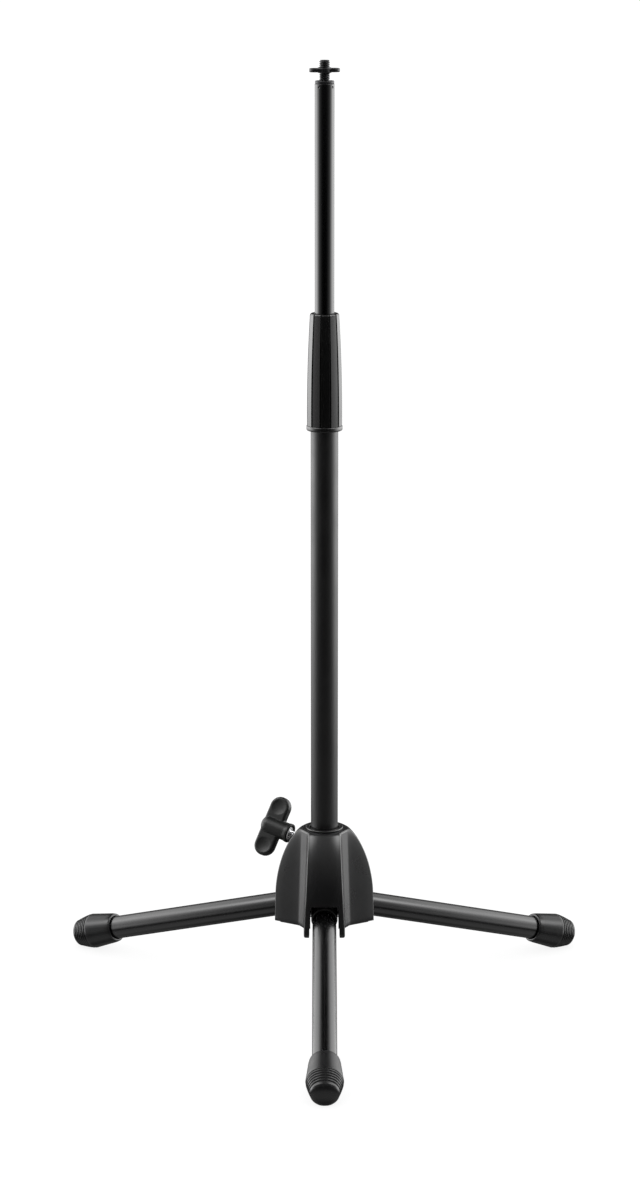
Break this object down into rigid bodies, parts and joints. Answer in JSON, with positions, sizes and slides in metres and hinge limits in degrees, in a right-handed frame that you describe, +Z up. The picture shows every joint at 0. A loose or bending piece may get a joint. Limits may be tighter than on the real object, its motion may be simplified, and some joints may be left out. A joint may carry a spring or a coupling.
{
  "type": "cajon accessory stand",
  "caption": "Floor stand for a small percussion accessory: folding tripod base clamped on a wide tube, thin tube held by a twist clutch, threaded stud with winged nut on top.",
  "frame": {"origin": "centre of the bounding box at floor level, with the mast upright behind it and all three feet on the floor", "axes": "+Z up along the mast, -Y along the front leg, which points at the viewer, +X to the viewer's right"},
  "size_m": [0.4924, 0.4294, 0.8686],
  "materials": {
    "black_paint": "glossy black powder coat",
    "grip_plastic": "gloss black",
    "bell_plastic": "satin black",
    "knob_plastic": "satin black",
    "rubber": "matt black",
    "nylon": "satin black",
    "steel": "zinc plated",
    "black_steel": "black zinc plated",
    "brass": "turned"
  },
  "bodies": {
    "lower_mast": {"lower_tube": "black_paint", "tube_end_cap": "rubber", "clutch_body": "nylon", "collet": "nylon"},
    "clutch_grip": {"clutch_grip": "grip_plastic"},
    "mast_guide": {"guide_bush": "nylon"},
    "upper_mast": {"upper_tube": "black_paint", "guide_bush_keeper": "nylon", "stud_plug": "black_steel", "thread_stud": "black_steel"},
    "locknut": {"locknut": "black_steel"},
    "base_guides": {"base_top_bush": "nylon", "base_lower_bush": "nylon"},
    "tripod_base": {"base_housing": "bell_plastic", "clamp_insert": "brass", "leg_pin_front": "steel", "leg_pin_right": "steel", "leg_pin_left": "steel"},
    "clamp_pad": {"clamp_pad": "nylon"},
    "clamp_screw": {"clamp_screw": "steel", "clamp_collar": "steel", "wing_knob": "knob_plastic"},
    "leg_front": {"leg_tube_front": "black_paint", "leg_hinge_front": "nylon", "leg_foot_front": "rubber"},
    "leg_right": {"leg_tube_right": "black_paint", "leg_hinge_right": "nylon", "leg_foot_right": "rubber"},
    "leg_left": {"leg_tube_left": "black_paint", "leg_hinge_left": "nylon", "leg_foot_left": "rubber"}
  },
  "joints": [
    {"name": "base_slide", "type": "slide", "parent": "lower_mast", "child": "base_guides", "axis": [0, 0, 1], "range_m": [0, 0.19]},
    {"name": "base_turn", "type": "hinge", "parent": "base_guides", "child": "tripod_base", "pos_m": [0, 0.06601, 0.08764], "axis": [0, 0, 1], "continuous": true},
    {"name": "leg_front_fold", "type": "hinge", "parent": "tripod_base", "child": "leg_front", "pos_m": [0, 0.04001, 0.08764], "axis": [1, 0, 0], "range_deg": [0, 73.05]},
    {"name": "leg_right_fold", "type": "hinge", "parent": "tripod_base", "child": "leg_right", "pos_m": [0.02252, 0.07901, 0.08764], "axis": [-0.5, 0.866, 0], "range_deg": [0, 73.05]},
    {"name": "leg_left_fold", "type": "hinge", "parent": "tripod_base", "child": "leg_left", "pos_m": [-0.02252, 0.07901, 0.08764], "axis": [-0.5, -0.866, 0], "range_deg": [0, 73.05]},
    {"name": "clamp_pad_travel", "type": "slide", "parent": "tripod_base", "child": "clamp_pad", "axis": [-0.8458, 0.4883, 0.2147], "range_m": [0, 0.001]},
    {"name": "clamp_screw_turn", "type": "hinge", "parent": "clamp_pad", "child": "clamp_screw", "pos_m": [0, 0.06601, 0.14334], "axis": [-0.8458, 0.4883, 0.2147], "range_deg": [0, 360]},
    {"name": "clutch_twist", "type": "hinge", "parent": "lower_mast", "child": "clutch_grip", "pos_m": [0, 0.06601, 0.59169], "axis": [0, 0, 1], "range_deg": [0, 120]},
    {"name": "upper_slide", "type": "slide", "parent": "lower_mast", "child": "mast_guide", "axis": [0, 0, 1], "range_m": [-0.2, 0.19]},
    {"name": "upper_turn", "type": "hinge", "parent": "mast_guide", "child": "upper_mast", "pos_m": [0, 0.06601, 0.59169], "axis": [0, 0, 1], "continuous": true},
    {"name": "locknut_spin", "type": "hinge", "parent": "upper_mast", "child": "locknut", "pos_m": [0, 0.06601, 0.85984], "axis": [0, 0, 1], "continuous": true}
  ],
  "couplings": [
    {"joint": "clamp_pad_travel", "follows": "clamp_screw_turn", "m_per_rad": 0.00015915}
  ]
}
